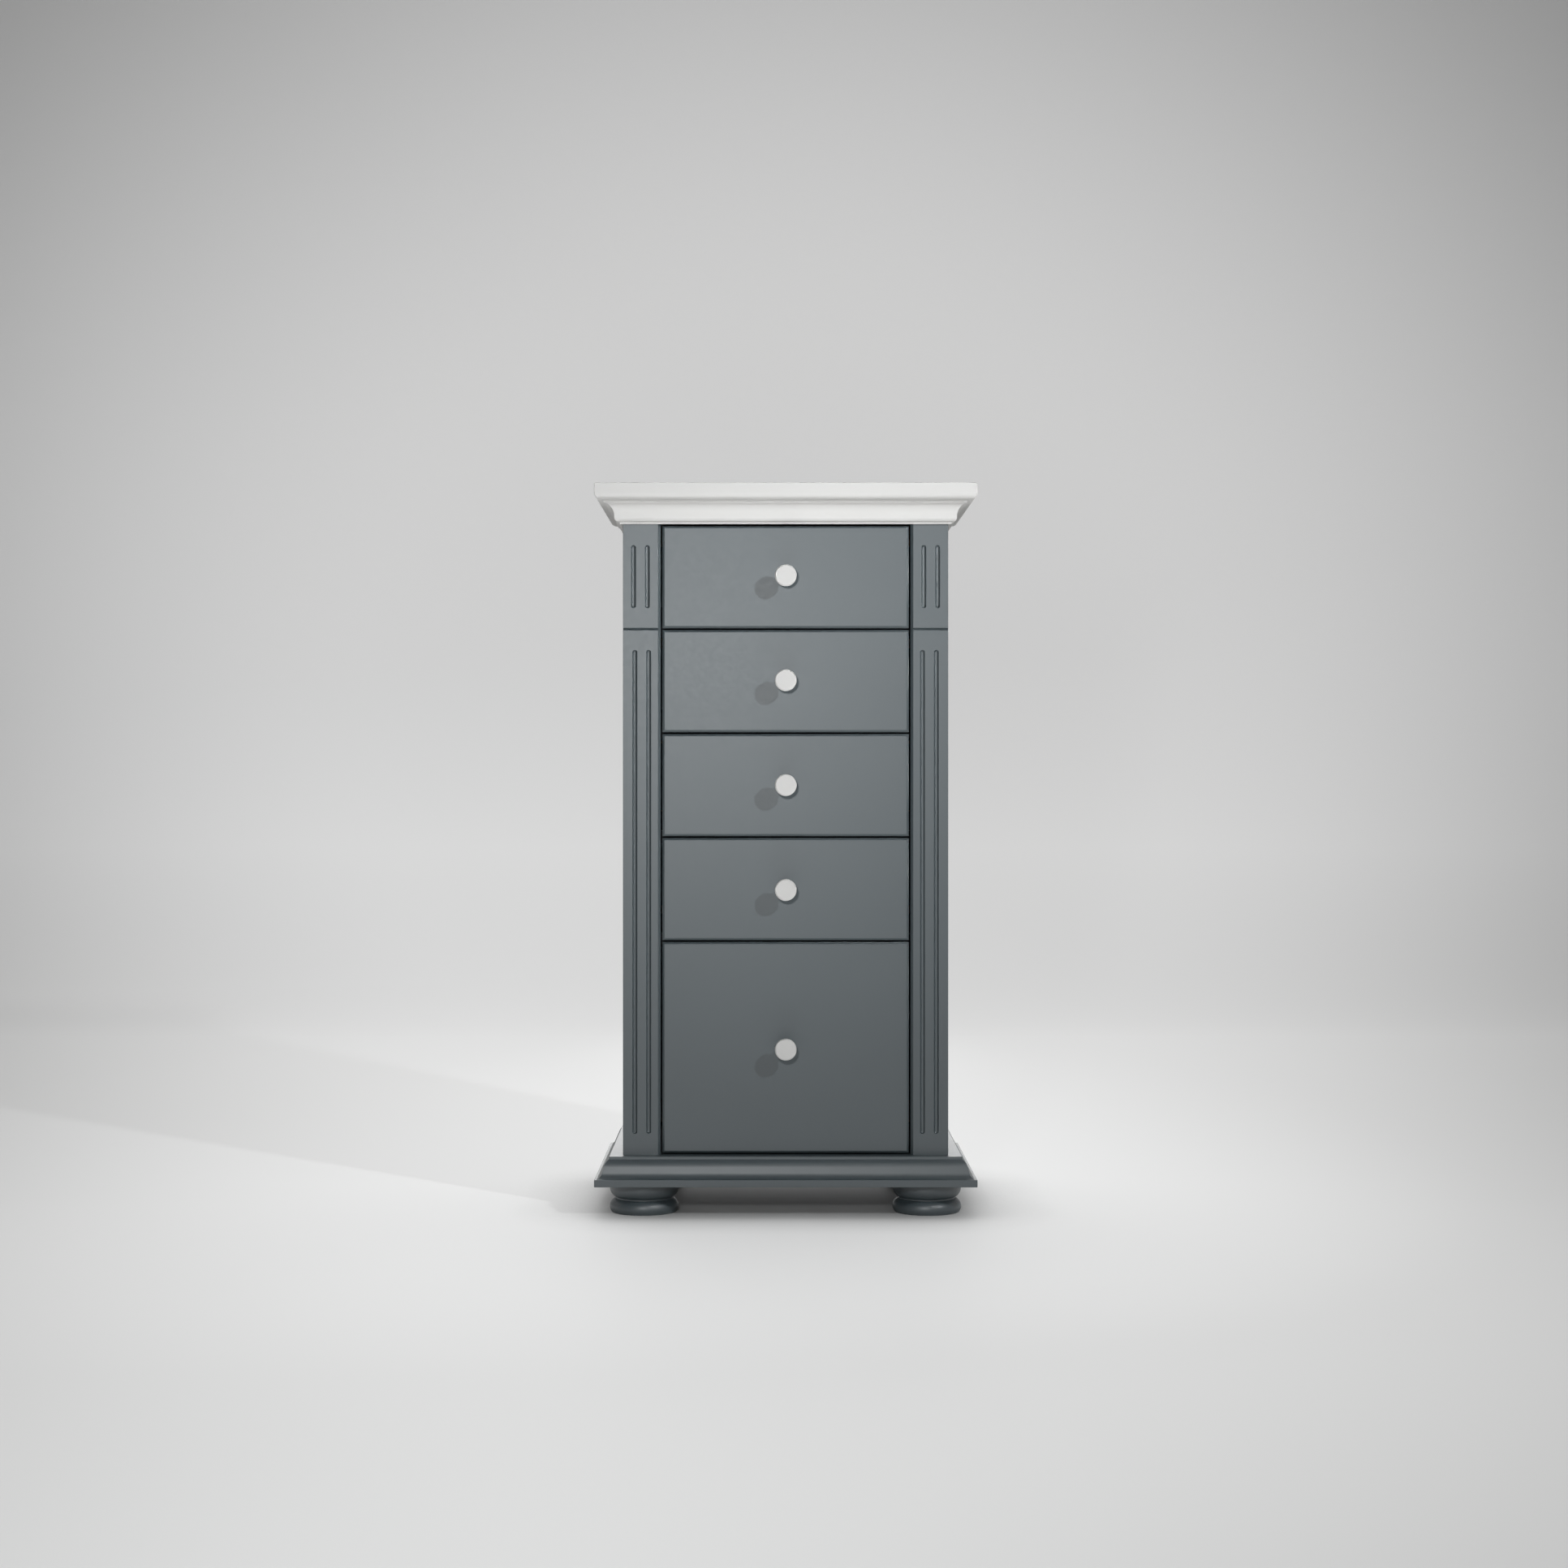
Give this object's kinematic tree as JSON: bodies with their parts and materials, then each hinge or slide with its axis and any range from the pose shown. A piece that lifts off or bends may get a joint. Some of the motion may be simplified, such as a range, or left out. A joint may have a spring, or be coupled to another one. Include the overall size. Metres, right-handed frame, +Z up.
{
  "type": "tall chest of drawers",
  "caption": "Tall narrow chest of drawers on bun feet, with fluted pilasters, a moulded plinth, an overhanging top with a cornice, and sliding drawers with round knobs.",
  "frame": {"origin": "on the floor, under the middle of the footprint", "axes": "+Z up, -Y out of the drawer fronts, +X to the right seen from the front"},
  "size_m": [0.56, 0.4, 1.0745],
  "materials": {
    "slate_paint": "satin slate-grey paint",
    "white_paint": "satin white paint",
    "birch": "sanded, clear matt varnish",
    "birch_ply": "sanded plywood",
    "back_ply": "thin matt grey paint on plywood",
    "beech": "planed and waxed",
    "steel": "zinc plated"
  },
  "bodies": {
    "case": {"top_board": "white_paint", "cornice_front": "white_paint", "cornice_left": "white_paint", "cornice_right": "white_paint", "plinth_front": "slate_paint", "plinth_left": "slate_paint", "plinth_right": "slate_paint", "side_panel_left": "slate_paint", "side_panel_right": "slate_paint", "pilaster_left": "slate_paint", "pilaster_right": "slate_paint", "runners_left": "beech", "runners_right": "beech", "runner_screws": "steel", "divider_rails": "slate_paint", "bottom_board": "slate_paint", "back_panel": "back_ply", "top_rail_front": "slate_paint", "top_rail_rear": "beech", "bottom_rail_front": "slate_paint", "foot_front_left": "slate_paint", "foot_front_right": "slate_paint", "foot_rear_left": "slate_paint", "foot_rear_right": "slate_paint", "foot_bolts": "steel"},
    "drawer_1": {"drawer_1_front": "slate_paint", "drawer_1_side_left": "birch", "drawer_1_side_right": "birch", "drawer_1_back": "birch", "drawer_1_bottom": "birch_ply", "drawer_1_knob": "white_paint", "drawer_1_knob_screw": "steel"},
    "drawer_2": {"drawer_2_front": "slate_paint", "drawer_2_side_left": "birch", "drawer_2_side_right": "birch", "drawer_2_back": "birch", "drawer_2_bottom": "birch_ply", "drawer_2_knob": "white_paint", "drawer_2_knob_screw": "steel"},
    "drawer_3": {"drawer_3_front": "slate_paint", "drawer_3_side_left": "birch", "drawer_3_side_right": "birch", "drawer_3_back": "birch", "drawer_3_bottom": "birch_ply", "drawer_3_knob": "white_paint", "drawer_3_knob_screw": "steel"},
    "drawer_4": {"drawer_4_front": "slate_paint", "drawer_4_side_left": "birch", "drawer_4_side_right": "birch", "drawer_4_back": "birch", "drawer_4_bottom": "birch_ply", "drawer_4_knob": "white_paint", "drawer_4_knob_screw": "steel"},
    "drawer_5": {"drawer_5_front": "slate_paint", "drawer_5_side_left": "birch", "drawer_5_side_right": "birch", "drawer_5_back": "birch", "drawer_5_bottom": "birch_ply", "drawer_5_knob": "white_paint", "drawer_5_knob_screw": "steel"}
  },
  "joints": [
    {"name": "drawer_1_slide", "type": "slide", "parent": "case", "child": "drawer_1", "axis": [0, -1, 0], "range_m": [0, 0.22]},
    {"name": "drawer_2_slide", "type": "slide", "parent": "case", "child": "drawer_2", "axis": [0, -1, 0], "range_m": [0, 0.22]},
    {"name": "drawer_3_slide", "type": "slide", "parent": "case", "child": "drawer_3", "axis": [0, -1, 0], "range_m": [0, 0.22]},
    {"name": "drawer_4_slide", "type": "slide", "parent": "case", "child": "drawer_4", "axis": [0, -1, 0], "range_m": [0, 0.22]},
    {"name": "drawer_5_slide", "type": "slide", "parent": "case", "child": "drawer_5", "axis": [0, -1, 0], "range_m": [0, 0.22]}
  ]
}
